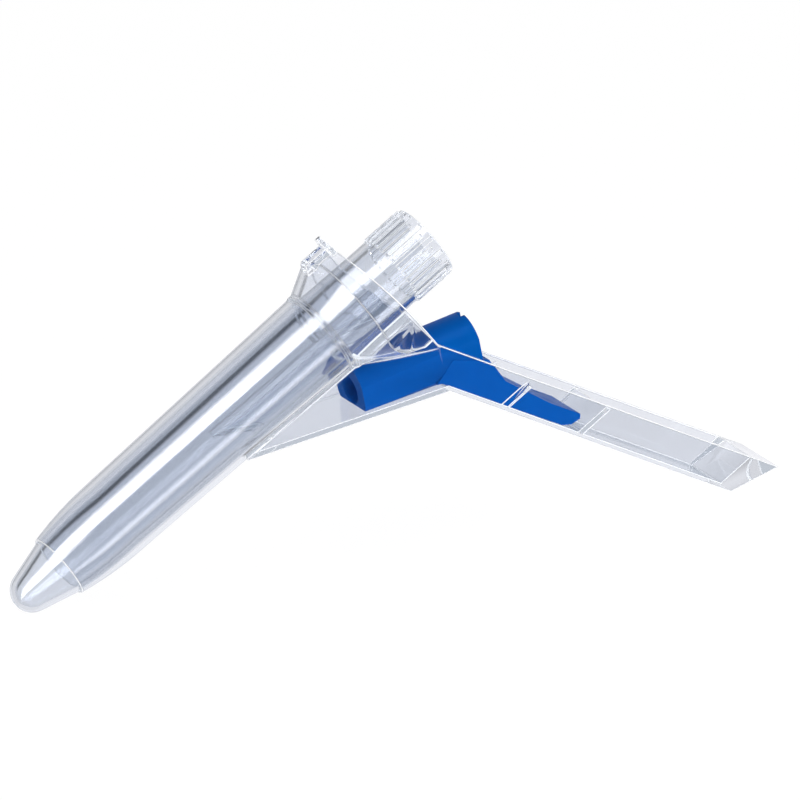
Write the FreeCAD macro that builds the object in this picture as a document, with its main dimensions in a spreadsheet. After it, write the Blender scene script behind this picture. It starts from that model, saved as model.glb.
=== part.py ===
"""Proctoscope: clear speculum with handle, clear obturator, blue light holder. Millimetres.

The pieces are drawn in the moulding frame: X along the barrel axis towards the operator with 0 at
the ring where the funnel starts, Y across the barrel towards the handle, Z to the side.
The last step stands the whole instrument on the nose and the end of the handle.
"""
import FreeCAD, Part
import math
import os

import Sketcher

DRIVING_SIZES = [
    # barrel of the speculum
    ("barrel_length", 89.1), ("ring_radius", 11.8), ("shoulder_radius", 10.7), ("shoulder_length", 18.5),
    ("mouth_radius", 8.7), ("shoulder_bulge", 92.0), ("lip_wall", 0.42), ("barrel_wall", 1.4),
    # funnel and rim
    ("funnel_slope", 0.53), ("collar_radius", 16.7), ("rim_height", 17.4), ("rim_slope", 0.17),
    ("ring_bead", 0.3), ("bead_width", 1.1), ("partition_bore", 10.9), ("partition_wall", 1.3),
    # bracket and lip on the rim
    ("bracket_width", 3.0), ("bracket_reach", 18.9), ("bracket_foot", 5.8),
    ("lip_reach", 21.8), ("lip_width", 5.4), ("lip_tip_width", 2.6), ("lip_thick", 1.5),
    # handle and gusset
    ("handle_width", 19.0), ("side_wall", 1.4), ("floor_wall", 1.0), ("handle_angle", 60.2),
    ("handle_depth", 11.6), ("handle_length", 90.6), ("heel_along", 16.4), ("heel_across", 32.3),
    ("gusset_start", 36.0), ("gusset_slope", 0.466), ("rim_corner", 20.4), ("end_rake", 4.0),
    ("end_block", 3.2), ("cross_wall_place", 67.6), ("cross_wall_thick", 1.2), ("cross_wall_drop", 0.9),
    ("rib_place", 46.2), ("rib_width", 1.9), ("rib_drop", 1.4),
    # obturator
    ("running_gap", 0.45), ("nose_gap", 0.12), ("nose_length", 14.6), ("nose_tip_radius", 5.6),
    ("shaft_wall", 1.3), ("knob_reach", 35.6), ("knob_length", 12.1), ("knob_radius", 9.75),
    ("knob_rib_height", 0.5), ("knob_rib_width", 1.25), ("knob_rib_pairs", 15), ("knob_rib_step", 2.0),
    # light holder
    ("sleeve_angle", 21.4), ("sleeve_along", -2.3), ("sleeve_under_ring", 6.1), ("sleeve_length", 34.5),
    ("sleeve_radius", 7.55), ("sleeve_flat", 7.1), ("draw_angle", 14.0), ("holder_gap", 0.25),
    ("lead_bore_radius", 3.5), ("lead_mouth_radius", 3.85), ("lead_mouth_length", 0.8),
    ("notch_width", 2.2), ("notch_depth", 1.1), ("tongue_width", 14.8), ("tongue_gap", 0.2),
    ("tongue_end", 65.3), ("tongue_taper", 56.1), ("tongue_neck", 42.1), ("tongue_root", 34.5),
    ("tongue_end_step", 4.9), ("tongue_taper_drop", 5.2), ("tongue_neck_drop", 3.5),
    ("tongue_in_along", 24.3), ("tongue_in_across", 9.1), ("tongue_front_along", 17.4),
    ("tongue_front_across", 11.5),
]


class Size:
    """A value in millimetres together with the spreadsheet formula that it comes from."""

    def __init__(self, value, formula):
        self.value = float(value)
        self.formula = formula

    @staticmethod
    def of(other):
        if isinstance(other, Size):
            return other
        return Size(other, repr(float(other)))

    def __add__(self, other):
        other = Size.of(other)
        return Size(self.value + other.value, f"({self.formula} + {other.formula})")

    def __sub__(self, other):
        other = Size.of(other)
        return Size(self.value - other.value, f"({self.formula} - {other.formula})")

    def __mul__(self, other):
        other = Size.of(other)
        return Size(self.value * other.value, f"({self.formula} * {other.formula})")

    def __truediv__(self, other):
        other = Size.of(other)
        return Size(self.value / other.value, f"({self.formula} / {other.formula})")

    def __neg__(self):
        return Size(-self.value, f"(0 - {self.formula})")

    def __rsub__(self, other):
        return Size.of(other) - self

    __radd__ = __add__
    __rmul__ = __mul__


def root(size):
    return Size(math.sqrt(size.value), f"sqrt({size.formula})")


def cosine(size):
    return Size(math.cos(math.radians(size.value)), f"cos({size.formula} * 1 deg)")


def sine(size):
    return Size(math.sin(math.radians(size.value)), f"sin({size.formula} * 1 deg)")


# Document and its table of sizes

doc = FreeCAD.newDocument("Proctoscope")
sheet = doc.addObject("Spreadsheet::Sheet", "Sizes")
for row, (alias, value) in enumerate(DRIVING_SIZES, start=1):
    sheet.set(f"A{row}", alias.replace("_", " "))
    sheet.set(f"B{row}", str(value))
    sheet.setAlias(f"B{row}", alias)
doc.recompute()


def size(alias):
    return Size(sheet.get(alias), f"Sizes.{alias}")


# Helpers for bodies, sketches and features

def new_body(name):
    return doc.addObject("PartDesign::Body", name)


def origin_plane(body, role):
    return [item for item in body.Origin.OriginFeatures if item.Role == role][0]


def new_sketch(body, name, role="XY_Plane"):
    sketch = body.newObject("Sketcher::SketchObject", name)
    sketch.AttachmentSupport = (origin_plane(body, role), [""])
    sketch.MapMode = "FlatFace"
    return sketch


def pin_distance(sketch, kind, geometry, point, distance):
    """Ties one coordinate of a sketch point to a formula, measured from the sketch's origin."""
    if abs(distance.value) < 1e-9:
        axis = -2 if kind == "DistanceX" else -1
        sketch.addConstraint(Sketcher.Constraint("PointOnObject", geometry, point, axis))
        return
    if distance.value > 0:
        rule = Sketcher.Constraint(kind, -1, 1, geometry, point, distance.value)
        formula = distance.formula
    else:
        rule = Sketcher.Constraint(kind, geometry, point, -1, 1, -distance.value)
        formula = f"0 - {distance.formula}"
    index = sketch.addConstraint(rule)
    sketch.setExpression(f"Constraints[{index}]", formula)


def draw_outline(sketch, corners, arcs=None):
    """Draws a closed outline. arcs gives, for a corner's number, the radius of the arc that leaves it.

    A positive radius puts the centre on the right of the way to the next corner, a negative one
    on the left.
    """
    arcs = {number: Size.of(radius) for number, radius in (arcs or {}).items()}
    corners = [(Size.of(x), Size.of(y)) for x, y in corners]
    points = [FreeCAD.Vector(x.value, y.value, 0) for x, y in corners]
    starts = []
    ends = []
    for number, start in enumerate(points):
        end = points[(number + 1) % len(points)]
        if number in arcs:
            curve, first, last = arc_between(start, end, arcs[number].value)
        else:
            curve, first, last = Part.LineSegment(start, end), 1, 2
        geometry = sketch.addGeometry(curve, False)
        starts.append((geometry, first))
        ends.append((geometry, last))
    for number in range(len(points)):
        geometry, point = starts[number]
        previous, previous_point = ends[number - 1]
        sketch.addConstraint(Sketcher.Constraint("Coincident", previous, previous_point, geometry, point))
        pin_distance(sketch, "DistanceX", geometry, point, corners[number][0])
        pin_distance(sketch, "DistanceY", geometry, point, corners[number][1])
    for number, radius in arcs.items():
        geometry = starts[number][0]
        length = radius if radius.value > 0 else -radius
        index = sketch.addConstraint(Sketcher.Constraint("Radius", geometry, length.value))
        sketch.setExpression(f"Constraints[{index}]", length.formula)


def arc_between(start, end, radius):
    """The shorter arc between two points, and which of its ends is the first and the last."""
    chord = end - start
    half = chord.Length / 2
    side = FreeCAD.Vector(chord.y, -chord.x, 0).normalize()
    if radius < 0:
        side = -side
    centre = (start + end) / 2 + side * math.sqrt(max(radius * radius - half * half, 0.0))
    circle = Part.Circle(centre, FreeCAD.Vector(0, 0, 1), abs(radius))
    start_angle = math.atan2(start.y - centre.y, start.x - centre.x)
    end_angle = math.atan2(end.y - centre.y, end.x - centre.x)
    if radius > 0:
        return Part.ArcOfCircle(circle, end_angle, start_angle), 2, 1
    return Part.ArcOfCircle(circle, start_angle, end_angle), 1, 2


def draw_circle(sketch, across, radius):
    """A circle with its centre on the sketch's horizontal axis, at the distance across."""
    across = Size.of(across)
    centre = FreeCAD.Vector(across.value, 0, 0)
    geometry = sketch.addGeometry(Part.Circle(centre, FreeCAD.Vector(0, 0, 1), radius.value), False)
    pin_distance(sketch, "DistanceX", geometry, 3, across)
    pin_distance(sketch, "DistanceY", geometry, 3, Size.of(0))
    index = sketch.addConstraint(Sketcher.Constraint("Radius", geometry, radius.value))
    sketch.setExpression(f"Constraints[{index}]", radius.formula)


def revolve(body, sketch, name, cut=False):
    feature = body.newObject("PartDesign::Groove" if cut else "PartDesign::Revolution", name)
    feature.Profile = sketch
    feature.ReferenceAxis = (sketch, ["H_Axis"])
    feature.Angle = 360
    return feature


def extrude(body, sketch, name, length, cut=False, midplane=True, reversed_way=False):
    feature = body.newObject("PartDesign::Pocket" if cut else "PartDesign::Pad", name)
    feature.Profile = sketch
    feature.Type = 0
    feature.Midplane = midplane
    feature.Reversed = reversed_way
    feature.Length = length.value
    feature.setExpression("Length", length.formula)
    return feature


def combine(kind, name, base, tool):
    result = doc.addObject(f"Part::{kind}", name)
    result.Base = base
    result.Tool = tool
    return result


# Sizes that several pieces share

barrel_length = size("barrel_length")
ring_radius = size("ring_radius")
shoulder_radius = size("shoulder_radius")
shoulder_place = size("shoulder_length") - barrel_length
shoulder_bulge = size("shoulder_bulge")
barrel_wall = size("barrel_wall")
mouth_bore = size("mouth_radius") - size("lip_wall")
bore_at_ring = ring_radius - barrel_wall
bore_at_shoulder = shoulder_radius - barrel_wall
barrel_draft = (shoulder_radius - ring_radius) / shoulder_place
funnel_slope = size("funnel_slope")
collar_radius = size("collar_radius")
half_width = size("handle_width") / 2
inner_half_width = half_width - size("side_wall")
partition_bore = size("partition_bore")
partition_radius = partition_bore + size("partition_wall")

# The heel is the outer corner between gusset and handle. The handle runs from it at handle_angle.
heel_along = size("heel_along")
heel_across = size("heel_across")
handle_cos = cosine(size("handle_angle"))
handle_sin = sine(size("handle_angle"))
handle_lean = handle_cos / handle_sin
handle_length = size("handle_length")
gusset_slope = size("gusset_slope")
rim_corner = size("rim_corner")


def rim_at(across):
    """Height of the rim along the barrel's axis at a distance across."""
    return size("rim_height") + size("rim_slope") * across


def handle_bottom_at(across):
    """Height of the handle's outer floor at a distance across."""
    return heel_along + (across - heel_across) * handle_lean


def handle_top_at(across):
    return handle_bottom_at(across) + size("handle_depth")


def gusset_bottom_at(along):
    return heel_across + (along - heel_along) * gusset_slope


def collar_outline(radius, corner_width):
    """Outline of the rim seen along the barrel: a circle drawn out to two corners at the handle."""
    reach = rim_corner
    distance_squared = reach * reach + corner_width * corner_width
    touch = root(distance_squared - radius * radius)
    touch_across = (reach * radius - corner_width * touch) * radius / distance_squared
    touch_side = (corner_width * radius + reach * touch) * radius / distance_squared
    corners = [
        (reach, -corner_width), (touch_across, -touch_side), (-radius, 0), (touch_across, touch_side),
        (reach, corner_width),
    ]
    return corners, {1: radius, 2: radius}


# Speculum: outside of the barrel and funnel

funnel_top = rim_at(rim_corner) + 2
funnel_wide = ring_radius + funnel_slope * funnel_top
bead = size("ring_bead")
bead_width = size("bead_width")

tube = new_body("BarrelOutside")
tube_outline = new_sketch(tube, "BarrelOutline")
draw_outline(tube_outline, [
    (-barrel_length, 0), (-barrel_length, size("mouth_radius")),
    (shoulder_place, shoulder_radius), (-bead_width, ring_radius),
    (-bead_width / 2, ring_radius + bead), (bead / funnel_slope, ring_radius + bead),
    (funnel_top, funnel_wide), (funnel_top, 0),
], arcs={1: shoulder_bulge})
revolve(tube, tube_outline, "BarrelTurned")
collar_ring = new_sketch(tube, "CollarRing", "YZ_Plane")
collar_corners, collar_arcs = collar_outline(collar_radius, half_width)
draw_outline(collar_ring, collar_corners, arcs=collar_arcs)
draw_circle(collar_ring, 0, funnel_wide + 6)
extrude(tube, collar_ring, "CollarCut", funnel_top + 1, cut=True, midplane=False, reversed_way=True)

# Speculum: the core that leaves the bore and the inside of the funnel

wall_across_slope = barrel_wall * root(funnel_slope * funnel_slope + 1)
bore_cone_start = (wall_across_slope - barrel_wall) / funnel_slope
core_top = funnel_top + 3

core = new_body("BoreCore")
core_outline = new_sketch(core, "BoreOutline")
draw_outline(core_outline, [
    (-barrel_length - 2, 0), (-barrel_length - 2, mouth_bore), (-barrel_length, mouth_bore),
    (shoulder_place, bore_at_shoulder), (bore_cone_start, bore_at_ring),
    (core_top, bore_at_ring + funnel_slope * (core_top - bore_cone_start)), (core_top, 0),
], arcs={2: shoulder_bulge})
revolve(core, core_outline, "BoreTurned")
core_ring = new_sketch(core, "FunnelRing", "YZ_Plane")
inner_corners, inner_arcs = collar_outline(collar_radius - barrel_wall, inner_half_width)
draw_outline(core_ring, inner_corners, arcs=inner_arcs)
draw_circle(core_ring, 0, funnel_wide + 14)
extrude(core, core_ring, "FunnelCut", core_top + 1, cut=True, midplane=False, reversed_way=True)

# Speculum: handle and gusset, with the bore taken out

end_across = heel_across + handle_length * handle_sin
tip_across = end_across + size("end_rake")
low_edge = Size.of(3)

handle = new_body("HandleBlock")
handle_outline = new_sketch(handle, "HandleOutline")
draw_outline(handle_outline, [
    (-size("gusset_start"), gusset_bottom_at(-size("gusset_start"))), (heel_along, heel_across),
    (handle_bottom_at(end_across), end_across), (handle_top_at(tip_across), tip_across),
    (handle_top_at(rim_corner), rim_corner), (rim_at(low_edge), low_edge),
    (-size("gusset_start"), low_edge),
])
extrude(handle, handle_outline, "HandlePad", size("handle_width"))
lumen_outline = new_sketch(handle, "LumenOutline")
draw_outline(lumen_outline, [
    (-size("gusset_start") - 2, 0),
    (-size("gusset_start") - 2, bore_at_ring - barrel_draft * (size("gusset_start") + 2)),
    (bore_cone_start, bore_at_ring), (bore_cone_start + 1.5, bore_at_ring),
    (bore_cone_start + 2, partition_bore), (core_top, partition_bore), (core_top, 0),
])
revolve(handle, lumen_outline, "LumenCut", cut=True)

# Speculum: the open channel in the handle, and the pocket behind the cross wall

floor_lift = size("floor_wall") / handle_sin
gusset_lift = size("floor_wall") * root(gusset_slope * gusset_slope + 1)
inner_heel = heel_along + (floor_lift - gusset_lift * handle_lean) / (1 - gusset_slope * handle_lean)
cross_low = size("cross_wall_place")
cross_high = cross_low + size("cross_wall_thick")
block_face = end_across - size("end_block")
channel_start = -size("gusset_start") - 4


def channel_floor_at(across):
    return handle_bottom_at(across) + floor_lift


def gusset_floor_at(along):
    return gusset_bottom_at(along) - gusset_lift


channel = new_body("ChannelCore")
channel_outline = new_sketch(channel, "ChannelOutline")
draw_outline(channel_outline, [
    (channel_start, gusset_floor_at(channel_start)), (inner_heel, gusset_floor_at(inner_heel)),
    (channel_floor_at(cross_low), cross_low), (handle_top_at(cross_low) + 4, cross_low),
    (handle_top_at(rim_corner) + 12, rim_corner), (handle_top_at(rim_corner) + 12, low_edge - 1),
    (channel_start, low_edge - 1),
])
extrude(channel, channel_outline, "ChannelPad", inner_half_width * 2)
kept_outline = new_sketch(channel, "KeptOutline")
kept_start = channel_start - 2
draw_outline(kept_outline, [
    (kept_start, 0), (kept_start, ring_radius + barrel_draft * kept_start), (0, ring_radius),
    (bore_cone_start + 1, partition_radius), (core_top + collar_radius, partition_radius),
    (core_top + collar_radius, 0),
])
revolve(channel, kept_outline, "PartitionKept", cut=True)

grip = new_body("GripCore")
grip_outline = new_sketch(grip, "GripOutline")
draw_outline(grip_outline, [
    (channel_floor_at(cross_high), cross_high), (channel_floor_at(block_face), block_face),
    (handle_top_at(block_face) + 4, block_face), (handle_top_at(cross_high) + 4, cross_high),
])
extrude(grip, grip_outline, "GripPad", inner_half_width * 2)

cross_top = new_body("CrossWallTop")
cross_top_outline = new_sketch(cross_top, "CrossTopOutline")
cross_drop = size("cross_wall_drop")
draw_outline(cross_top_outline, [
    (handle_top_at(cross_low - 0.5) - cross_drop, cross_low - 0.5),
    (handle_top_at(cross_high + 0.5) - cross_drop, cross_high + 0.5),
    (handle_top_at(cross_high + 0.5) + 4, cross_high + 0.5),
    (handle_top_at(cross_low - 0.5) + 4, cross_low - 0.5),
])
extrude(cross_top, cross_top_outline, "CrossTopPad", inner_half_width * 2)

# Speculum: guide ribs beside the tongue of the light holder

rib_gap = size("tongue_width") + size("tongue_gap") * 2
rib_low = size("rib_place")
rib_high = rib_low + size("rib_width")
ribs = new_body("GuideRibs")
rib_outline = new_sketch(ribs, "RibOutline")
draw_outline(rib_outline, [
    (channel_floor_at(rib_low) - floor_lift / 2, rib_low),
    (handle_top_at(rib_low) - size("rib_drop"), rib_low),
    (handle_top_at(rib_low) - size("rib_drop"), rib_high),
    (channel_floor_at(rib_high) - floor_lift / 2, rib_high),
], arcs={1: size("rib_width") * 0.55})
extrude(ribs, rib_outline, "RibPad", inner_half_width * 2 + 0.6)
rib_slot = new_sketch(ribs, "RibSlot")
draw_outline(rib_slot, [
    (channel_floor_at(rib_low) - 6, rib_low - 1), (channel_floor_at(rib_high) - 6, rib_high + 1),
    (handle_top_at(rib_high) + 6, rib_high + 1), (handle_top_at(rib_low) + 6, rib_low - 1),
])
extrude(ribs, rib_slot, "RibGap", rib_gap, cut=True)

# Speculum: bracket and lip on the side of the rim away from the handle

bracket_root = barrel_wall / 2 - collar_radius
bracket_reach = size("bracket_reach")
lip_reach = size("lip_reach")


def lip_under_at(across):
    return rim_at(across) - size("lip_thick")


bracket = new_body("RimBracket")
bracket_outline = new_sketch(bracket, "BracketOutline")
draw_outline(bracket_outline, [
    (size("bracket_foot") - 0.6, bracket_root), (size("bracket_foot"), -bracket_reach + 0.6),
    (size("bracket_foot") + 0.6, -bracket_reach), (rim_at(-bracket_reach) + 1, -bracket_reach),
    (rim_at(bracket_root) + 1, bracket_root),
])
extrude(bracket, bracket_outline, "BracketPad", size("bracket_width"))
lip = new_body("RimLip")
lip_outline = new_sketch(lip, "LipOutline", "YZ_Plane")
lip_half = size("lip_width") / 2
lip_tip = size("lip_tip_width") / 2
draw_outline(lip_outline, [
    (bracket_root, lip_half), (-bracket_reach, lip_half), (lip_tip - lip_reach, lip_tip),
    (-lip_reach, 0), (lip_tip - lip_reach, -lip_tip), (-bracket_reach, -lip_half), (bracket_root, -lip_half),
], arcs={2: -lip_tip, 3: -lip_tip})
extrude(lip, lip_outline, "LipPad", size("rim_height") + size("lip_thick"), midplane=False)
lip_trim = new_body("LipTrim")
lip_trim_outline = new_sketch(lip_trim, "LipTrimOutline")
draw_outline(lip_trim_outline, [
    (-1, bracket_root + 1), (lip_under_at(bracket_root + 1), bracket_root + 1),
    (lip_under_at(-lip_reach - 1), -lip_reach - 1), (-1, -lip_reach - 1),
])
extrude(lip_trim, lip_trim_outline, "LipTrimPad", size("lip_width") + 2)

# Speculum: rim cut, slanted along the rim line

rim_far = funnel_wide + 4
rim_cut = new_body("RimCut")
rim_outline = new_sketch(rim_cut, "RimOutline")
draw_outline(rim_outline, [
    (rim_at(-rim_far), -rim_far), (rim_at(rim_corner), rim_corner), (core_top + 6, rim_corner),
    (core_top + 6, -rim_far),
])
extrude(rim_cut, rim_outline, "RimPad", rim_far * 2)

# Speculum: the relief that lets the sleeve of the light holder in, along the way it is drawn out

sleeve_angle = size("sleeve_angle")
draw_angle = size("draw_angle")
sleeve_radius = size("sleeve_radius")
holder_gap = size("holder_gap")
sleeve_along = size("sleeve_along")
sleeve_across = ring_radius + size("sleeve_under_ring")
sleeve_front = FreeCAD.Vector(sleeve_along.value, sleeve_across.value, 0)


def lie_along(feature, angle, start):
    """Turns a cylinder or cone so that its axis runs at an angle to the barrel, from a start point."""
    upright = FreeCAD.Rotation(FreeCAD.Vector(0, 1, 0), 90)
    tilt = FreeCAD.Rotation(FreeCAD.Vector(0, 0, 1), angle)
    feature.Placement = FreeCAD.Placement(start, tilt.multiply(upright))


def direction(angle):
    return FreeCAD.Vector(math.cos(math.radians(angle)), math.sin(math.radians(angle)), 0)


sleeve_cos = cosine(sleeve_angle)
sleeve_sin = sine(sleeve_angle)
corner_along = sleeve_along + sleeve_radius * sleeve_sin
corner_across = sleeve_across - sleeve_radius * sleeve_cos
relief_across = corner_across - holder_gap
relief_along = corner_along - holder_gap * 2
relief_height = partition_radius + 2 - relief_across
draw_slope = sine(draw_angle) / cosine(draw_angle)
relief = new_body("SleeveRelief")
relief_outline = new_sketch(relief, "ReliefOutline")
draw_outline(relief_outline, [
    (relief_along, relief_across), (relief_along - relief_height * sleeve_sin, relief_across + relief_height),
    (relief_along + relief_height / draw_slope, relief_across + relief_height),
])
extrude(relief, relief_outline, "ReliefPad", sleeve_radius * 1.7)

funnel_open = combine("Cut", "FunnelOpen", tube, core)
shell = combine("Fuse", "ShellJoined", funnel_open, handle)
channel_open = combine("Cut", "ChannelOpen", shell, channel)
grip_open = combine("Cut", "GripOpen", channel_open, grip)
wall_lowered = combine("Cut", "WallLowered", grip_open, cross_top)
relieved = combine("Cut", "ShellRelieved", wall_lowered, relief)
ribbed = combine("Fuse", "ShellRibbed", relieved, ribs)
bracketed = combine("Fuse", "ShellBracketed", ribbed, bracket)
lip_thinned = combine("Cut", "LipThinned", lip, lip_trim)
lipped = combine("Fuse", "ShellLipped", bracketed, lip_thinned)
speculum = combine("Cut", "Speculum", lipped, rim_cut)
speculum.Label = "speculum"

# Obturator: hollow, with a rounded nose that closes the barrel, and a ribbed knob

gap = size("running_gap")
nose_radius = mouth_bore - size("nose_gap")
tip_radius = size("nose_tip_radius")
tip_centre = tip_radius - barrel_length - size("nose_length")
knob_end = size("knob_reach")
knob_start = knob_end - size("knob_length")
knob_radius = size("knob_radius")
shaft_wall = size("shaft_wall")
shaft_at_ring = bore_at_ring - gap
shaft_at_shoulder = bore_at_shoulder - gap
neck = barrel_wall


def touch_point(end_radius, ball_radius):
    """Where the flank of the nose, starting at the barrel's end, touches the ball of the tip."""
    run = -barrel_length - tip_centre
    span_squared = run * run + end_radius * end_radius
    touch = root(span_squared - ball_radius * ball_radius)
    along = (run * ball_radius - end_radius * touch) * ball_radius / span_squared
    away = (end_radius * ball_radius + run * touch) * ball_radius / span_squared
    return tip_centre + along, away


inner_ball = tip_radius - shaft_wall
inner_nose = nose_radius - shaft_wall
turned = new_body("ObturatorTurned")
obturator_outline = new_sketch(turned, "ObturatorOutline")
draw_outline(obturator_outline, [
    (tip_centre - tip_radius, 0), touch_point(nose_radius, tip_radius),
    (-barrel_length, nose_radius), (shoulder_place, shaft_at_shoulder), (0, shaft_at_ring),
    (knob_start - neck, knob_radius), (knob_end, knob_radius), (knob_end, knob_radius - shaft_wall),
    (0, shaft_at_ring - shaft_wall), (shoulder_place, shaft_at_shoulder - shaft_wall),
    (-barrel_length, inner_nose), touch_point(inner_nose, inner_ball), (tip_centre - inner_ball, 0),
], arcs={0: tip_radius, 2: shoulder_bulge, 9: -shoulder_bulge, 11: -inner_ball})
revolve(turned, obturator_outline, "ObturatorShape")

rib_top = knob_radius + size("knob_rib_height")
rib_ends = [knob_end - 0.4, knob_end - size("knob_rib_step")]
rib_rings = []
for name, end in zip(["LongRib", "ShortRib"], rib_ends):
    knob_rib = new_body(name)
    knob_rib_outline = new_sketch(knob_rib, f"{name}Outline")
    draw_outline(knob_rib_outline, [
        (knob_start, knob_radius - 0.3), (knob_start, knob_radius + 0.1), (knob_start + 0.6, rib_top),
        (end - 0.4, rib_top), (end, knob_radius + 0.1), (end, knob_radius - 0.3),
    ])
    extrude(knob_rib, knob_rib_outline, f"{name}Pad", size("knob_rib_width"))
    doc.recompute()
    rib_ring = knob_rib.newObject("PartDesign::PolarPattern", f"{name}Ring")
    rib_ring.Originals = [doc.getObject(f"{name}Pad")]
    rib_ring.Axis = (knob_rib_outline, ["H_Axis"])
    rib_ring.Angle = 360
    rib_ring.setExpression("Occurrences", "Sizes.knob_rib_pairs")
    knob_rib.Tip = rib_ring
    rib_rings.append(knob_rib)
half_pitch = FreeCAD.Rotation(FreeCAD.Vector(1, 0, 0), 180 / size("knob_rib_pairs").value)
rib_rings[1].Placement = FreeCAD.Placement(FreeCAD.Vector(0, 0, 0), half_pitch)
obturator_ribbed = combine("Fuse", "ObturatorRibbed", turned, rib_rings[0])
obturator = combine("Fuse", "Obturator", obturator_ribbed, rib_rings[1])
obturator.Label = "obturator"

# Light holder: a sleeve with flats on both sides, a stepped bore for the lead, and a tongue

sleeve_length = size("sleeve_length")
sleeve = doc.addObject("Part::Cylinder", "SleeveRound")
sleeve.setExpression("Radius", sleeve_radius.formula)
sleeve.setExpression("Height", sleeve_length.formula)
lie_along(sleeve, sleeve_angle.value, sleeve_front)
lead_bore = doc.addObject("Part::Cylinder", "LeadBore")
lead_bore.setExpression("Radius", "Sizes.lead_bore_radius")
lead_bore.setExpression("Height", "Sizes.sleeve_length + 4")
lie_along(lead_bore, sleeve_angle.value, sleeve_front - direction(sleeve_angle.value) * 2)
lead_mouth = doc.addObject("Part::Cone", "LeadMouth")
lead_mouth.setExpression("Radius1", "Sizes.lead_mouth_radius")
lead_mouth.setExpression("Radius2", "Sizes.lead_bore_radius")
lead_mouth.setExpression("Height", "Sizes.lead_mouth_length")
lie_along(lead_mouth, sleeve_angle.value, sleeve_front)

flats = new_body("SleeveFlats")
flats_outline = new_sketch(flats, "FlatsOutline")
sleeve_floor_gap = size("holder_gap") * 0.6
flats_start = sleeve_along - sleeve_radius * 2
flats_across = sleeve_across + sleeve_length
flats_end = sleeve_along + sleeve_length * 2
draw_outline(flats_outline, [
    (flats_start, 0), (flats_start, gusset_floor_at(flats_start) - sleeve_floor_gap),
    (inner_heel + sleeve_floor_gap, gusset_floor_at(inner_heel + sleeve_floor_gap) - sleeve_floor_gap),
    (channel_floor_at(flats_across) + sleeve_floor_gap, flats_across), (flats_end, flats_across),
    (flats_end, 0),
])
extrude(flats, flats_outline, "FlatsPad", size("sleeve_flat") * 2)

notch = doc.addObject("Part::Box", "KeyNotch")
notch.setExpression("Length", "Sizes.sleeve_length")
notch.setExpression("Width", (size("sleeve_radius") - size("lead_bore_radius")).formula)
notch.setExpression("Height", "Sizes.notch_width")
tilt = FreeCAD.Rotation(FreeCAD.Vector(0, 0, 1), sleeve_angle.value)
across_sleeve = direction(sleeve_angle.value - 90)
notch_corner = sleeve_front + direction(sleeve_angle.value) * (
    size("sleeve_length").value - size("notch_depth").value)
notch_corner = notch_corner + across_sleeve * (sleeve_radius.value + 0.5)
notch_corner.z = -size("notch_width").value / 2
notch.Placement = FreeCAD.Placement(notch_corner, tilt)

tongue = new_body("Tongue")
tongue_outline = new_sketch(tongue, "TongueOutline")
tongue_low = size("tongue_gap") * 2


def tongue_under(across):
    return channel_floor_at(across) + tongue_low


def tongue_top(alias, drop):
    across = size(alias)
    return handle_top_at(across) - drop, across


root_across = heel_across - 1.2
tongue_end = size("tongue_end")
draw_outline(tongue_outline, [
    (sleeve_along + size("tongue_front_along"), sleeve_across + size("tongue_front_across")),
    (tongue_under(root_across) - 0.9, root_across - 0.9),
    (tongue_under(tongue_end - 2.1), tongue_end - 2.1),
    (tongue_under(tongue_end - 0.4) + 1.2, tongue_end - 0.4), (tongue_under(tongue_end) + 3.6, tongue_end),
    (tongue_under(tongue_end - 1) + size("tongue_end_step"), tongue_end - 1),
    tongue_top("tongue_taper", size("tongue_taper_drop")), tongue_top("tongue_neck", size("tongue_neck_drop")),
    tongue_top("tongue_root", -0.6),
    (sleeve_along + size("tongue_in_along"), sleeve_across + size("tongue_in_across")),
])
extrude(tongue, tongue_outline, "TonguePad", size("tongue_width"))

sleeve_flatted = combine("Common", "SleeveFlatted", sleeve, flats)
holder_joined = combine("Fuse", "HolderJoined", sleeve_flatted, tongue)
holder_bored = combine("Cut", "HolderBored", holder_joined, lead_bore)
holder_flared = combine("Cut", "HolderFlared", holder_bored, lead_mouth)
holder = combine("Cut", "LightHolder", holder_flared, notch)
holder.Label = "light_holder"

# Stands the instrument on the nose and on the end of the handle, centred, and writes the pieces

doc.recompute()
foot_along = handle_bottom_at(end_across).value - tip_centre.value
foot_across = end_across.value
foot_angle = math.atan2(foot_across, foot_along)
foot_distance = math.hypot(foot_along, foot_across)
stand_angle = math.degrees(foot_angle - math.asin(tip_radius.value / foot_distance))
stand = FreeCAD.Rotation(FreeCAD.Vector(0, 1, 0), -stand_angle)
stand = stand.multiply(FreeCAD.Rotation(FreeCAD.Vector(1, 0, 0), -90))
pieces = [speculum, obturator, holder]
for piece in pieces:
    piece.Placement = FreeCAD.Placement(FreeCAD.Vector(0, 0, 0), stand)
doc.recompute()
bounds = FreeCAD.BoundBox()
for piece in pieces:
    bounds.add(piece.Shape.optimalBoundingBox())
middle = FreeCAD.Vector(bounds.Center.x, bounds.Center.y, bounds.ZMin)
for piece in pieces:
    piece.Placement = FreeCAD.Placement(-middle, stand)
doc.recompute()

for item in doc.Objects:
    if "Invalid" in item.State or "Error" in item.State:
        raise RuntimeError(f"{item.Name} did not build: {item.State}")
os.makedirs("parts", exist_ok=True)
for piece in pieces:
    shape = piece.Shape
    if shape.isNull() or not shape.isValid() or len(shape.Solids) != 1:
        raise RuntimeError(f"{piece.Label} is not one valid solid: {len(shape.Solids)}")
    shape.exportStep(f"parts/{piece.Label}.step")
    box = shape.optimalBoundingBox()
    print(piece.Label, round(shape.Volume), "mm3", round(box.XLength, 2), round(box.YLength, 2),
          round(box.ZLength, 2))
print("stand angle", round(stand_angle, 3), "origin moved by", [round(v, 4) for v in -middle])
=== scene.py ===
"""The looks of a clear proctoscope: two clear mouldings, a blue light holder, a white studio."""

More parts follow.
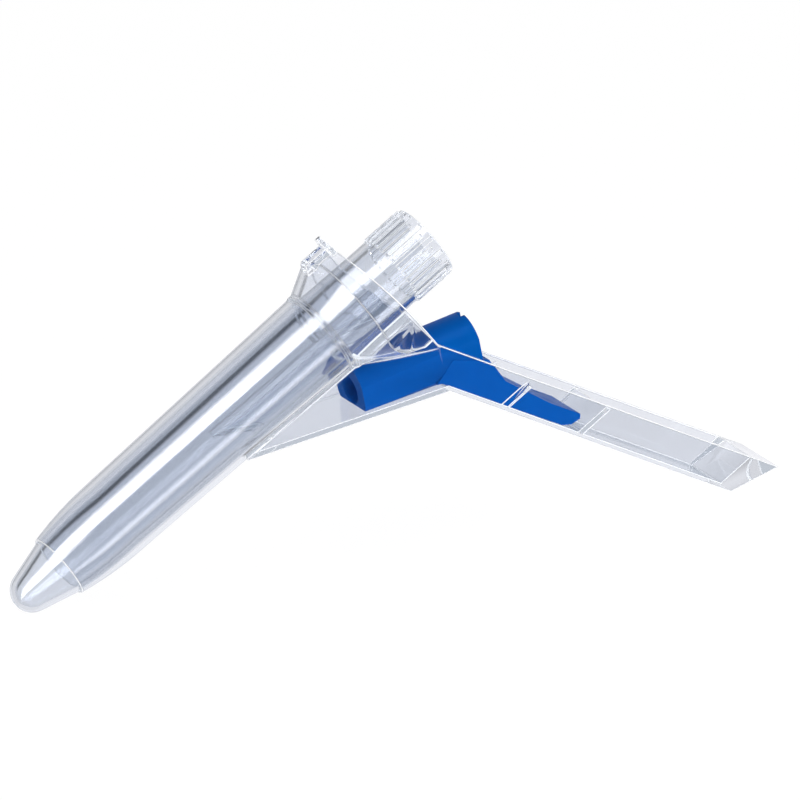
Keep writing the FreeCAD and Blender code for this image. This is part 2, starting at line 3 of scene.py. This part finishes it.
import logging
import math
from dataclasses import dataclass, field
from enum import Enum

import bpy
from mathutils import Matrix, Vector

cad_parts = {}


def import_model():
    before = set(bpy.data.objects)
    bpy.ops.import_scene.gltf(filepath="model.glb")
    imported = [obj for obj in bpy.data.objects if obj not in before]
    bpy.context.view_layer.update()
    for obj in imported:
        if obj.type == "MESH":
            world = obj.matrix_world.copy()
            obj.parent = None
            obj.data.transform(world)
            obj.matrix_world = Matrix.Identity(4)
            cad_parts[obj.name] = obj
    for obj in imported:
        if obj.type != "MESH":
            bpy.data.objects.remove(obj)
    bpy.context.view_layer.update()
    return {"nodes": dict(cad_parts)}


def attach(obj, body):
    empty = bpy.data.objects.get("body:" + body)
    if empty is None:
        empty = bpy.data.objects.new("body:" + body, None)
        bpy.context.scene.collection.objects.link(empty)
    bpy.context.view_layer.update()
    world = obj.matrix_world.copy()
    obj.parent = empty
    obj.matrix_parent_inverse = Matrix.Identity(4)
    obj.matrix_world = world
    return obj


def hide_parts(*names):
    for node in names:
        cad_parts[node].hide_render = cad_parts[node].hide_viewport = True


LOG = logging.getLogger("proctoscope")
Colour = tuple[float, float, float, float]
Strips = tuple[tuple[float, float], ...]

# The barrel's axis in the frame: its lean in degrees, and the ring's centre on it in metres.
BARREL_LEAN = 33.16
RING = Vector((-0.0190924, 0.0, 0.0592581))

# Faces counted as turned: how much they face away from the axis, and how alike their slopes are.
LEAST_FACING = 0.15
TRUE_TURN = 0.990
LIKE_SLOPE = 0.14
# A face larger than this, in square metres, is a flat wall and keeps its own normal.
FLAT_AREA = 0.000008

# Where a path through clear walls ends in a painted glow that stands in for piped light: after this many
# mirrorings or bounces.
LAST_MIRRORING = 2.5
LAST_BOUNCE = 9.5
PAINTED_PIPED_GLOW: Colour = (0.60, 0.64, 0.70, 1.0)


class Piece(Enum):
    """The separate mouldings of the instrument, by their names in the frame."""

    SPECULUM = "speculum"
    OBTURATOR = "obturator"
    LIGHT_HOLDER = "light_holder"


def new_material(name: str) -> tuple[bpy.types.Material, bpy.types.NodeTree, bpy.types.Node]:
    """Makes an empty material with one Principled shader wired to its output.

    Args:
        name: The material's name.

    Returns:
        The material, its node tree and its shader node.
    """
    material = bpy.data.materials.new(name)
    material.use_nodes = True
    tree = material.node_tree
    tree.nodes.clear()
    output = tree.nodes.new("ShaderNodeOutputMaterial")
    shader = tree.nodes.new("ShaderNodeBsdfPrincipled")
    tree.links.new(shader.outputs["BSDF"], output.inputs["Surface"])
    return material, tree, shader


def moulded_surface_group() -> bpy.types.NodeTree:
    """Builds the shared group that gives moulded plastic its faint flow marks and uneven gloss.

    Returns:
        The node group, with a Height, a Roughness and a Mask output.
    """
    group = bpy.data.node_groups.new("moulded surface", "ShaderNodeTree")
    face = group.interface
    face.new_socket("Position", in_out="INPUT", socket_type="NodeSocketVector")
    scale = face.new_socket("Scale", in_out="INPUT", socket_type="NodeSocketFloat")
    scale.default_value = 60.0
    smooth = face.new_socket("Smoothest", in_out="INPUT", socket_type="NodeSocketFloat")
    smooth.default_value = 0.05
    rough = face.new_socket("Roughest", in_out="INPUT", socket_type="NodeSocketFloat")
    rough.default_value = 0.12
    face.new_socket("Height", in_out="OUTPUT", socket_type="NodeSocketFloat")
    face.new_socket("Roughness", in_out="OUTPUT", socket_type="NodeSocketFloat")
    face.new_socket("Mask", in_out="OUTPUT", socket_type="NodeSocketFloat")
    nodes, links = group.nodes, group.links
    start = nodes.new("NodeGroupInput")
    end = nodes.new("NodeGroupOutput")
    waves = nodes.new("ShaderNodeTexNoise")
    waves.inputs["Detail"].default_value = 2.0
    waves.inputs["Roughness"].default_value = 0.45
    links.new(start.outputs["Position"], waves.inputs["Vector"])
    links.new(start.outputs["Scale"], waves.inputs["Scale"])
    links.new(waves.outputs["Fac"], end.inputs["Height"])
    spread = nodes.new("ShaderNodeMapRange")
    spread.inputs["From Min"].default_value = 0.35
    spread.inputs["From Max"].default_value = 0.65
    links.new(waves.outputs["Fac"], spread.inputs["Value"])
    links.new(start.outputs["Smoothest"], spread.inputs["To Min"])
    links.new(start.outputs["Roughest"], spread.inputs["To Max"])
    links.new(spread.outputs["Result"], end.inputs["Roughness"])
    links.new(waves.outputs["Fac"], end.inputs["Mask"])
    return group


def place_group(tree: bpy.types.NodeTree, group: bpy.types.NodeTree, scale: float) -> bpy.types.Node:
    """Puts a shared group into a material and feeds it the piece's own coordinates.

    Args:
        tree: The material's node tree.
        group: The shared group.
        scale: The pattern's scale, in waves per metre.

    Returns:
        The group's node.
    """
    coordinates = tree.nodes.new("ShaderNodeTexCoord")
    node = tree.nodes.new("ShaderNodeGroup")
    node.node_tree = group
    node.inputs["Scale"].default_value = scale
    tree.links.new(coordinates.outputs["Object"], node.inputs["Position"])
    return node


def let_light_through(tree: bpy.types.NodeTree, shader: bpy.types.NodeSocket, tint: Colour) -> None:
    """Lets lamps shine through a clear material, and gives its walls a painted glow where a path is piped
    along them for long.

    The painted glow stands in for light that a wall pipes to and fro, which would otherwise go black after a
    few turns.

    Args:
        tree: The material's node tree.
        shader: The shader that everything but a shadow ray meets.
        tint: The share of the light that each wall lets through.
    """
    output = next(node for node in tree.nodes if node.type == "OUTPUT_MATERIAL")
    path = tree.nodes.new("ShaderNodeLightPath")
    open_wall = tree.nodes.new("ShaderNodeBsdfTransparent")
    open_wall.inputs["Color"].default_value = tint
    # Painted light: a glow on the clear walls, not a lamp, that ends paths which turn too often.
    painted_glow = tree.nodes.new("ShaderNodeEmission")
    painted_glow.inputs["Color"].default_value = PAINTED_PIPED_GLOW
    long_way = tree.nodes.new("ShaderNodeMath")
    long_way.operation = "GREATER_THAN"
    long_way.inputs[1].default_value = LAST_MIRRORING
    tree.links.new(path.outputs["Glossy Depth"], long_way.inputs[0])
    long_path = tree.nodes.new("ShaderNodeMath")
    long_path.operation = "GREATER_THAN"
    long_path.inputs[1].default_value = LAST_BOUNCE
    tree.links.new(path.outputs["Ray Depth"], long_path.inputs[0])
    either = tree.nodes.new("ShaderNodeMath")
    either.operation = "MAXIMUM"
    tree.links.new(long_way.outputs["Value"], either.inputs[0])
    tree.links.new(long_path.outputs["Value"], either.inputs[1])
    ended = tree.nodes.new("ShaderNodeMixShader")
    tree.links.new(either.outputs["Value"], ended.inputs["Fac"])
    tree.links.new(shader, ended.inputs[1])
    tree.links.new(painted_glow.outputs["Emission"], ended.inputs[2])
    mix = tree.nodes.new("ShaderNodeMixShader")
    tree.links.new(path.outputs["Is Shadow Ray"], mix.inputs["Fac"])
    tree.links.new(ended.outputs["Shader"], mix.inputs[1])
    tree.links.new(open_wall.outputs["BSDF"], mix.inputs[2])
    tree.links.new(mix.outputs["Shader"], output.inputs["Surface"])


def edge_bend(tree: bpy.types.NodeTree, width: float) -> bpy.types.NodeSocket:
    """Measures how far a normal rounded over an edge turns from the real one.

    Args:
        tree: The material's node tree.
        width: How far the rounding reaches from the edge, in metres.

    Returns:
        The cosine of the turn, which is one away from the edges.
    """
    rounded = tree.nodes.new("ShaderNodeBevel")
    rounded.samples = 8
    rounded.inputs["Radius"].default_value = width
    real = tree.nodes.new("ShaderNodeNewGeometry")
    likeness = tree.nodes.new("ShaderNodeVectorMath")
    likeness.operation = "DOT_PRODUCT"
    tree.links.new(rounded.outputs["Normal"], likeness.inputs[0])
    tree.links.new(real.outputs["Normal"], likeness.inputs[1])
    return likeness.outputs["Value"]


def between(
    tree: bpy.types.NodeTree, bend: bpy.types.NodeSocket, faint: float, full: float,
) -> bpy.types.NodeSocket:
    """Makes a mask that grows from nothing to full as the rounded normal turns away.

    Args:
        tree: The material's node tree.
        bend: The cosine of the turn.
        faint: One minus the cosine where the mask begins.
        full: One minus the cosine from which the mask is full.

    Returns:
        The mask's socket.
    """
    band = tree.nodes.new("ShaderNodeMapRange")
    band.inputs["From Min"].default_value = 1.0 - faint
    band.inputs["From Max"].default_value = 1.0 - full
    tree.links.new(bend, band.inputs["Value"])
    return band.outputs["Result"]


@dataclass(frozen=True)
class ClearPlastic:
    """Clear, faintly blue polystyrene: glossy walls, with a painted white highlight and a painted grey shade
    along their edges.
    """

    name: str = "clear plastic"
    tint: Colour = (0.86, 0.88, 0.915, 1.0)
    ior: float = 1.45
    smoothest: float = 0.01
    roughest: float = 0.035
    wave_height: float = 0.000002
    # Painted highlight along the edges: a white, faintly glowing shader mixed in where the rounded normal
    # turns far.
    edge_highlight_colour: Colour = (0.94, 0.955, 0.98, 1.0)
    edge_highlight_glow: float = 0.2
    # Painted shade: a grey line just inside each edge, mixed into the base colour.
    painted_edge_shade: Colour = (0.30, 0.32, 0.37, 1.0)
    edge_clearness: float = 0.15
    edge_roughness: float = 0.25
    edge_width: float = 0.0007
    shade_from: float = 0.002
    shade_to: float = 0.008
    highlight_from: float = 0.012
    highlight_to: float = 0.045
    waves_per_metre: float = 70.0
    uneven: float = 0.985
    shadow: Colour = (0.98, 0.985, 0.99, 1.0)

    def make(self, group: bpy.types.NodeTree) -> bpy.types.Material:
        """Builds the material.

        Args:
            group: The shared moulded surface group.

        Returns:
            The material.
        """
        material, tree, shader = new_material(self.name)
        shader.inputs["Transmission Weight"].default_value = 1.0
        shader.inputs["IOR"].default_value = self.ior
        surface = place_group(tree, group, self.waves_per_metre)
        surface.inputs["Smoothest"].default_value = self.smoothest
        surface.inputs["Roughest"].default_value = self.roughest
        tree.links.new(surface.outputs["Roughness"], shader.inputs["Roughness"])
        tone = tree.nodes.new("ShaderNodeMix")
        tone.data_type = "RGBA"
        tone.inputs["A"].default_value = self.tint
        tone.inputs["B"].default_value = tuple(self.uneven * c for c in self.tint[:3]) + (1.0,)
        tree.links.new(surface.outputs["Mask"], tone.inputs["Factor"])
        bend = edge_bend(tree, self.edge_width)
        # Painted shade: grey lines along the edges, in the base colour.
        shaded = tree.nodes.new("ShaderNodeMix")
        shaded.data_type = "RGBA"
        shaded.inputs["B"].default_value = self.painted_edge_shade
        tree.links.new(between(tree, bend, self.shade_from, self.shade_to), shaded.inputs["Factor"])
        tree.links.new(tone.outputs["Result"], shaded.inputs["A"])
        tree.links.new(shaded.outputs["Result"], shader.inputs["Base Color"])
        bump = tree.nodes.new("ShaderNodeBump")
        bump.inputs["Distance"].default_value = self.wave_height
        tree.links.new(surface.outputs["Height"], bump.inputs["Height"])
        tree.links.new(bump.outputs["Normal"], shader.inputs["Normal"])
        # Painted highlight: the edges turn white and glow faintly, standing in for light caught there.
        painted_highlight = tree.nodes.new("ShaderNodeBsdfPrincipled")
        painted_highlight.inputs["Base Color"].default_value = self.edge_highlight_colour
        painted_highlight.inputs["Transmission Weight"].default_value = self.edge_clearness
        painted_highlight.inputs["Roughness"].default_value = self.edge_roughness
        painted_highlight.inputs["Emission Color"].default_value = self.edge_highlight_colour
        painted_highlight.inputs["Emission Strength"].default_value = self.edge_highlight_glow
        highlighted = tree.nodes.new("ShaderNodeMixShader")
        tree.links.new(between(tree, bend, self.highlight_from, self.highlight_to), highlighted.inputs["Fac"])
        tree.links.new(shader.outputs["BSDF"], highlighted.inputs[1])
        tree.links.new(painted_highlight.outputs["BSDF"], highlighted.inputs[2])
        let_light_through(tree, highlighted.outputs["Shader"], self.shadow)
        return material


@dataclass(frozen=True)
class BluePlastic:
    """Royal-blue moulded plastic with a satin surface."""

    name: str = "blue plastic"
    colour: Colour = (0.0001, 0.116, 0.50, 1.0)
    shade: Colour = (0.0001, 0.102, 0.46, 1.0)
    gleam: float = 0.04
    smoothest: float = 0.30
    roughest: float = 0.42
    wave_height: float = 0.00002
    waves_per_metre: float = 160.0

    def make(self, group: bpy.types.NodeTree) -> bpy.types.Material:
        """Builds the material.

        Args:
            group: The shared moulded surface group.

        Returns:
            The material.
        """
        material, tree, shader = new_material(self.name)
        shader.inputs["Specular IOR Level"].default_value = self.gleam
        surface = place_group(tree, group, self.waves_per_metre)
        surface.inputs["Smoothest"].default_value = self.smoothest
        surface.inputs["Roughest"].default_value = self.roughest
        tone = tree.nodes.new("ShaderNodeMix")
        tone.data_type = "RGBA"
        tone.inputs["A"].default_value = self.shade
        tone.inputs["B"].default_value = self.colour
        tree.links.new(surface.outputs["Mask"], tone.inputs["Factor"])
        tree.links.new(tone.outputs["Result"], shader.inputs["Base Color"])
        tree.links.new(surface.outputs["Roughness"], shader.inputs["Roughness"])
        bump = tree.nodes.new("ShaderNodeBump")
        bump.inputs["Distance"].default_value = self.wave_height
        tree.links.new(surface.outputs["Height"], bump.inputs["Height"])
        tree.links.new(bump.outputs["Normal"], shader.inputs["Normal"])
        return material


def turn_normals(mesh: bpy.types.Mesh) -> None:
    """Gives faces turned about the barrel's axis a turned surface's normals, and keeps large walls flat.

    Args:
        mesh: The copy's mesh, already welded.
    """
    lean = math.radians(BARREL_LEAN)
    axis = Vector((math.cos(lean), 0.0, math.sin(lean)))
    outward = [(point.co - RING) - axis * (point.co - RING).dot(axis) for point in mesh.vertices]
    outward = [away.normalized() for away in outward]
    slopes: list[list[tuple[float, float]]] = [[] for _ in mesh.vertices]
    turned: dict[int, tuple[float, float]] = {}
    for face in mesh.polygons:
        slope = face.normal.dot(axis)
        across = face.normal - axis * slope
        facing = [across.normalized().dot(outward[point]) for point in face.vertices]
        if across.length < LEAST_FACING or min(abs(turn) for turn in facing) < TRUE_TURN:
            continue
        side = 1.0 if facing[0] > 0.0 else -1.0
        turned[face.index] = (slope, side)
        for point in face.vertices:
            slopes[point].append((slope, side))
    normals = [corner.vector.copy() for corner in mesh.corner_normals]
    for face in mesh.polygons:
        if face.index not in turned and face.area > FLAT_AREA:
            for corner in face.loop_indices:
                normals[corner] = face.normal.copy()
    for index, (slope, side) in turned.items():
        face = mesh.polygons[index]
        for corner, point in zip(face.loop_indices, face.vertices):
            near = [other for other, way in slopes[point] if way == side and abs(other - slope) < LIKE_SLOPE]
            mean = sum(near) / len(near)
            normals[corner] = axis * mean + outward[point] * side * math.sqrt(max(1.0 - mean * mean, 0.0))
    mesh.normals_split_custom_set([tuple(normal.normalized()) for normal in normals])


@dataclass(frozen=True)
class Skin:
    """How a moulding's copy is finished.

    Attributes:
        piece: The moulding that is covered.
        slot: The material slot of the record; not used.
        turned: Whether its round faces get a turned surface's normals.
        sharper_than: The angle, in degrees, from which an edge stays sharp.
        weld: The distance, in metres, within which doubled points are joined.
    """

    piece: Piece
    slot: str
    turned: bool
    sharper_than: float = 12.0
    weld: float = 0.000004

    def cover(self, node: bpy.types.Object, material: bpy.types.Material) -> bpy.types.Object:
        """Makes the smooth copy that stands for a node of the frame.

        Args:
            node: The node of the frame.
            material: The moulding's material.

        Returns:
            The finished copy.
        """
        bpy.ops.object.select_all(action="DESELECT")
        skin = bpy.data.objects.new(f"{self.piece.value}_skin", node.data.copy())
        bpy.context.scene.collection.objects.link(skin)
        bpy.context.view_layer.objects.active = skin
        skin.select_set(True)
        skin.data.materials.clear()
        skin.data.materials.append(material)
        self.weld_faces()
        bpy.ops.object.shade_smooth_by_angle(angle=math.radians(self.sharper_than))
        if self.turned:
            turn_normals(skin.data)
        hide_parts(self.piece.value)
        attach(skin, self.piece.value)
        LOG.info("%s: %d faces", skin.name, len(skin.data.polygons))
        return skin

    def weld_faces(self) -> None:
        """Joins the doubled points of the copy, so that its faces share their edges."""
        bpy.ops.object.mode_set(mode="EDIT")
        bpy.ops.mesh.select_all(action="SELECT")
        bpy.ops.mesh.remove_doubles(threshold=self.weld)
        bpy.ops.mesh.select_all(action="DESELECT")
        bpy.ops.object.mode_set(mode="OBJECT")


@dataclass
class Mouldings:
    """The three mouldings that cover the nodes of the frame."""

    nodes: dict[str, bpy.types.Object]
    clear: ClearPlastic = field(default_factory=ClearPlastic)
    fine: ClearPlastic = field(default_factory=lambda: ClearPlastic(
        "clear ribbed plastic", tint=(0.805, 0.83, 0.872, 1.0), edge_width=0.0003))
    blue: BluePlastic = field(default_factory=BluePlastic)
    skins: tuple[Skin, ...] = (
        Skin(Piece.SPECULUM, "clear_plastic", True),
        Skin(Piece.OBTURATOR, "clear_plastic", True),
        Skin(Piece.LIGHT_HOLDER, "blue_plastic", False, 24.0),
    )

    def build(self) -> None:
        """Covers each moulding with its finished copy."""
        group = moulded_surface_group()
        plastics = {
            Piece.SPECULUM: self.clear.make(group),
            Piece.OBTURATOR: self.fine.make(group),
            Piece.LIGHT_HOLDER: self.blue.make(group),
        }
        for skin in self.skins:
            skin.cover(self.nodes[skin.piece.value], plastics[skin.piece])


@dataclass
class Studio:
    """A white floor and backdrop, soft lights, and the camera at the photograph's angle.

    Each strip is a share of the turn about the barrel's axis and the brightness there.

    Attributes:
        middle: The point in the middle of the picture.
        azimuth: The camera's azimuth, in degrees.
        elevation: The camera's elevation, in degrees.
        distance: The camera's distance, in metres.
        picture_width: The width of the picture at the middle, in metres.
        ambient: The even light on bare surfaces.
        under_plastic: The even light on what lies behind clear plastic.
        glow: The floor's own brightness to the camera.
        glow_share: How much of the floor that the camera sees is glow, so that the rest takes shadows.
        strip_line: The part along the barrel of the directions that its walls mirror to the camera.
        strip_reach: How far from that part the strips hold before they fade into the walls.
        strips: The strips that the barrel mirrors.
        walls: The strips that everything else mirrors.
    """

    middle: Vector
    azimuth: float = -28.85
    elevation: float = 20.22
    distance: float = 8.0
    picture_width: float = 0.2
    ambient: float = 0.5
    under_plastic: float = 1.8
    glow: float = 1.1
    glow_share: float = 0.85
    strip_line: float = 0.19
    strip_reach: float = 0.16
    strips: Strips = (
        (0.0, 0.7), (0.042, 0.6), (0.047, 0.15), (0.057, 0.15), (0.066, 1.0), (0.24, 1.0),
        (0.26, 0.12), (0.315, 0.12), (0.325, 1.4), (0.365, 1.4), (0.375, 0.04), (0.425, 0.04),
        (0.434, 5.0), (0.458, 5.0), (0.47, 0.4), (0.49, 0.1), (0.63, 0.1), (0.642, 8.0), (0.715, 8.0),
        (0.73, 0.5), (0.80, 0.03), (0.845, 0.05), (0.875, 1.6), (0.91, 0.6), (0.945, 0.9), (0.999, 0.7),
    )
    walls: Strips = (
        (0.0, 0.8), (0.20, 0.9), (0.30, 0.8), (0.475, 0.8), (0.605, 0.7), (0.622, 11.0), (0.715, 11.0),
        (0.735, 0.4), (0.90, 0.6), (0.945, 0.9), (0.999, 0.8),
    )

    def build(self) -> None:
        """Makes the floor, the lights, the world and the camera."""
        self.floor()
        self.lights()
        self.world()
        self.camera()

    def floor(self) -> None:
        """Lays a large white floor that looks plain white to the camera and through clear plastic."""
        bpy.ops.object.select_all(action="DESELECT")
        bpy.ops.mesh.primitive_plane_add(size=6.0, location=(0.0, 0.0, -0.0002))
        plane = bpy.context.active_object
        plane.name = "floor"
        material = bpy.data.materials.new("white floor")
        material.use_nodes = True
        tree = material.node_tree
        tree.nodes.clear()
        output = tree.nodes.new("ShaderNodeOutputMaterial")
        paint = tree.nodes.new("ShaderNodeBsdfDiffuse")
        paint.inputs["Color"].default_value = (0.9, 0.9, 0.9, 1.0)
        glow = tree.nodes.new("ShaderNodeEmission")
        glow.inputs["Strength"].default_value = self.glow
        path = tree.nodes.new("ShaderNodeLightPath")
        shown = tree.nodes.new("ShaderNodeMath")
        shown.operation = "MULTIPLY"
        shown.inputs[1].default_value = self.glow_share
        tree.links.new(path.outputs["Is Camera Ray"], shown.inputs[0])
        lit = tree.nodes.new("ShaderNodeMixShader")
        tree.links.new(shown.outputs["Value"], lit.inputs["Fac"])
        tree.links.new(paint.outputs["BSDF"], lit.inputs[1])
        tree.links.new(glow.outputs["Emission"], lit.inputs[2])
        mirrored = tree.nodes.new("ShaderNodeMath")
        mirrored.operation = "MAXIMUM"
        tree.links.new(path.outputs["Is Glossy Ray"], mirrored.inputs[0])
        tree.links.new(path.outputs["Is Transmission Ray"], mirrored.inputs[1])
        open_floor = tree.nodes.new("ShaderNodeBsdfTransparent")
        mix = tree.nodes.new("ShaderNodeMixShader")
        tree.links.new(mirrored.outputs["Value"], mix.inputs["Fac"])
        tree.links.new(lit.outputs["Shader"], mix.inputs[1])
        tree.links.new(open_floor.outputs["BSDF"], mix.inputs[2])
        tree.links.new(mix.outputs["Shader"], output.inputs["Surface"])
        plane.data.materials.append(material)

    def world(self) -> None:
        """Surrounds the scene with a studio: white to the eye, a light tent to the plastic."""
        world = bpy.data.worlds.new("studio")
        bpy.context.scene.world = world
        world.use_nodes = True
        tree = world.node_tree
        tree.nodes.clear()
        output = tree.nodes.new("ShaderNodeOutputWorld")
        path = tree.nodes.new("ShaderNodeLightPath")
        scattered = tree.nodes.new("ShaderNodeMath")
        scattered.operation = "GREATER_THAN"
        scattered.inputs[1].default_value = 0.5
        tree.links.new(path.outputs["Diffuse Depth"], scattered.inputs[0])
        seen = tree.nodes.new("ShaderNodeMixShader")
        tree.links.new(scattered.outputs["Value"], seen.inputs["Fac"])
        tree.links.new(self.tent(tree), seen.inputs[1])
        tree.links.new(self.plain(tree, self.under_plastic), seen.inputs[2])
        tent = seen.outputs["Shader"]
        layers = [
            ("Is Glossy Ray", tent), ("Is Transmission Ray", tent), ("Is Camera Ray", self.plain(tree, 1.0)),
        ]
        shader = self.plain(tree, self.ambient)
        for ray, background in layers:
            mix = tree.nodes.new("ShaderNodeMixShader")
            tree.links.new(path.outputs[ray], mix.inputs["Fac"])
            tree.links.new(shader, mix.inputs[1])
            tree.links.new(background, mix.inputs[2])
            shader = mix.outputs["Shader"]
        tree.links.new(shader, output.inputs["Surface"])

    def plain(self, tree: bpy.types.NodeTree, strength: float) -> bpy.types.NodeSocket:
        """Adds an even white background to the world.

        Args:
            tree: The world's node tree.
            strength: Its strength, where 1 is white.

        Returns:
            The background's socket.
        """
        background = tree.nodes.new("ShaderNodeBackground")
        background.inputs["Strength"].default_value = strength
        return background.outputs["Background"]

    def along(self, tree: bpy.types.NodeTree, axis: tuple[float, float, float]) -> bpy.types.NodeSocket:
        """Measures how much of a direction lies along an axis.

        Args:
            tree: The world's node tree.
            axis: The axis, of length 1.

        Returns:
            The measure's socket.
        """
        where = tree.nodes.new("ShaderNodeTexCoord")
        dot = tree.nodes.new("ShaderNodeVectorMath")
        dot.operation = "DOT_PRODUCT"
        dot.inputs[1].default_value = axis
        tree.links.new(where.outputs["Generated"], dot.inputs[0])
        return dot.outputs["Value"]

    def tent(self, tree: bpy.types.NodeTree) -> bpy.types.NodeSocket:
        """Paints a light tent with strip lights that run parallel to the barrel.

        Args:
            tree: The world's node tree.

        Returns:
            The background's socket.
        """
        lean = math.radians(BARREL_LEAN)
        turn = tree.nodes.new("ShaderNodeMath")
        turn.operation = "ARCTAN2"
        tree.links.new(self.along(tree, (-math.sin(lean), 0.0, math.cos(lean))), turn.inputs[0])
        tree.links.new(self.along(tree, (0.0, -1.0, 0.0)), turn.inputs[1])
        share = tree.nodes.new("ShaderNodeMapRange")
        share.inputs["From Min"].default_value = -math.pi
        share.inputs["From Max"].default_value = math.pi
        tree.links.new(turn.outputs["Value"], share.inputs["Value"])
        colours = []
        for strips in (self.strips, self.walls):
            ramp = tree.nodes.new("ShaderNodeValToRGB")
            ramp.color_ramp.interpolation = "EASE"
            stops = ramp.color_ramp.elements
            for place, tone in strips:
                stop = stops.new(place)
                stop.color = (tone, tone, tone * 1.03, 1.0)
            stops.remove(stops[0])
            tree.links.new(share.outputs["Result"], ramp.inputs["Fac"])
            colours.append(ramp.outputs["Color"])
        off = tree.nodes.new("ShaderNodeMath")
        off.operation = "SUBTRACT"
        off.inputs[1].default_value = self.strip_line
        tree.links.new(self.along(tree, (math.cos(lean), 0.0, math.sin(lean))), off.inputs[0])
        away = tree.nodes.new("ShaderNodeMath")
        away.operation = "ABSOLUTE"
        tree.links.new(off.outputs["Value"], away.inputs[0])
        fade = tree.nodes.new("ShaderNodeMapRange")
        fade.interpolation_type = "SMOOTHSTEP"
        fade.inputs["From Min"].default_value = self.strip_reach
        fade.inputs["From Max"].default_value = self.strip_reach * 2.0
        tree.links.new(away.outputs["Value"], fade.inputs["Value"])
        mix = tree.nodes.new("ShaderNodeMix")
        mix.data_type = "RGBA"
        tree.links.new(fade.outputs["Result"], mix.inputs["Factor"])
        tree.links.new(colours[0], mix.inputs["A"])
        tree.links.new(colours[1], mix.inputs["B"])
        background = tree.nodes.new("ShaderNodeBackground")
        tree.links.new(mix.outputs["Result"], background.inputs["Color"])
        return background.outputs["Background"]

    def lights(self) -> None:
        """Sets two soft boxes, the key low in front of the object and the fill above it."""
        self.soft_box("key", (0.15, -0.75, 0.10), 0.4, 3.6)
        self.soft_box("fill", (-0.3, -0.2, 0.7), 0.6, 0.8)

    def soft_box(self, name: str, place: tuple[float, float, float], width: float, power: float) -> None:
        """Adds one square area light that faces the object.

        Args:
            name: The light's name.
            place: Its place, in metres.
            width: Its side, in metres.
            power: Its power, in watts.
        """
        data = bpy.data.lights.new(name, "AREA")
        data.size = width
        data.energy = power
        lamp = bpy.data.objects.new(name, data)
        bpy.context.scene.collection.objects.link(lamp)
        lamp.location = place
        lamp.rotation_euler = (self.middle - Vector(place)).to_track_quat("-Z", "Y").to_euler()
        lamp.visible_camera = False
        lamp.visible_glossy = False
        lamp.visible_transmission = False

    def camera(self) -> None:
        """Sets a long lens at the photograph's angle, with the picture's middle on the right point."""
        azimuth = math.radians(self.azimuth)
        elevation = math.radians(self.elevation)
        toward = Vector((
            math.sin(azimuth) * math.cos(elevation), -math.cos(azimuth) * math.cos(elevation),
            math.sin(elevation)))
        data = bpy.data.cameras.new("camera")
        camera = bpy.data.objects.new("camera", data)
        bpy.context.scene.collection.objects.link(camera)
        camera.location = self.middle + toward * self.distance
        camera.rotation_euler = toward.to_track_quat("Z", "Y").to_euler()
        data.sensor_width = 36.0
        data.lens = 36.0 * self.distance / self.picture_width
        data.clip_end = 30.0
        bpy.context.scene.camera = camera


def main() -> None:
    """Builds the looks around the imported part."""
    logging.basicConfig(level=logging.INFO, format="%(message)s")
    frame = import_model()
    bpy.context.scene.view_settings.view_transform = "Standard"
    Mouldings(frame["nodes"]).build()
    Studio(middle=Vector((0.00332, 0.0, 0.03747))).build()


if __name__ == "__main__":
    main()
